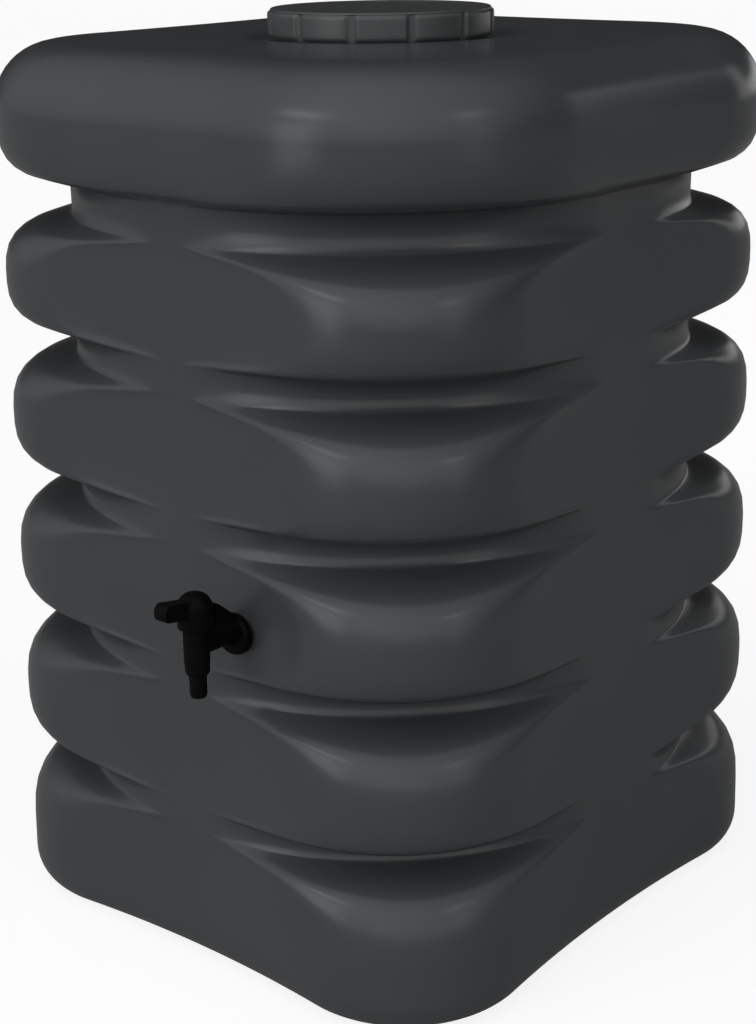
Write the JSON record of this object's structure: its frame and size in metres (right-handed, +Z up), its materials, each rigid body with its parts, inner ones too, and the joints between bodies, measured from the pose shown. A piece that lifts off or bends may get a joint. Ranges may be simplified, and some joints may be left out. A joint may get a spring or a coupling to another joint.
{
  "type": "rainwater tank",
  "caption": "Square ribbed upright plastic water tank with rounded corners, a round screw lid on top and a lever tap with a hose tail low on the front.",
  "frame": {"origin": "middle of the tank's underside, on the floor", "axes": "+Z up along the tank's axis, -Y out of the front that carries the tap, +X to the right seen from the front"},
  "size_m": [0.632, 0.7285, 0.8996],
  "materials": {
    "tank_plastic": "satin, moulded",
    "lid_plastic": "satin, moulded",
    "tap_plastic": "satin, moulded",
    "seal_rubber": "matt"
  },
  "bodies": {
    "tank": {"wall_front": "tank_plastic", "wall_back": "tank_plastic", "wall_right": "tank_plastic", "wall_left": "tank_plastic", "corner_front_right_end": "tank_plastic", "corner_front_right_side": "tank_plastic", "corner_front_left_end": "tank_plastic", "corner_front_left_side": "tank_plastic", "corner_back_right_end": "tank_plastic", "corner_back_right_side": "tank_plastic", "corner_back_left_end": "tank_plastic", "corner_back_left_side": "tank_plastic", "body_floor": "tank_plastic", "body_deck": "tank_plastic", "filler_neck": "tank_plastic", "tap_washer": "seal_rubber", "tap_flange": "tap_plastic", "tap_inlet": "tap_plastic", "tap_body": "tap_plastic", "tap_spout": "tap_plastic", "hose_tail": "tap_plastic"},
    "lid_seal": {"lid_seal": "seal_rubber"},
    "lid": {"lid_top": "lid_plastic", "lid_skirt": "lid_plastic", "lid_grips": "lid_plastic"},
    "tap_handle": {"tap_stem": "tap_plastic", "tap_handle": "tap_plastic"}
  },
  "joints": [
    {"name": "lid_lift", "type": "slide", "parent": "tank", "child": "lid_seal", "axis": [0, 0, 1], "range_m": [0, 0.12]},
    {"name": "lid_turn", "type": "hinge", "parent": "lid_seal", "child": "lid", "pos_m": [0, 0, 0.88], "axis": [0, 0, 1], "range_deg": [0, 360]},
    {"name": "tap_turn", "type": "hinge", "parent": "tank", "child": "tap_handle", "pos_m": [0.08, -0.36215, 0.4], "axis": [0, 0, 1], "range_deg": [0, 90]}
  ]
}
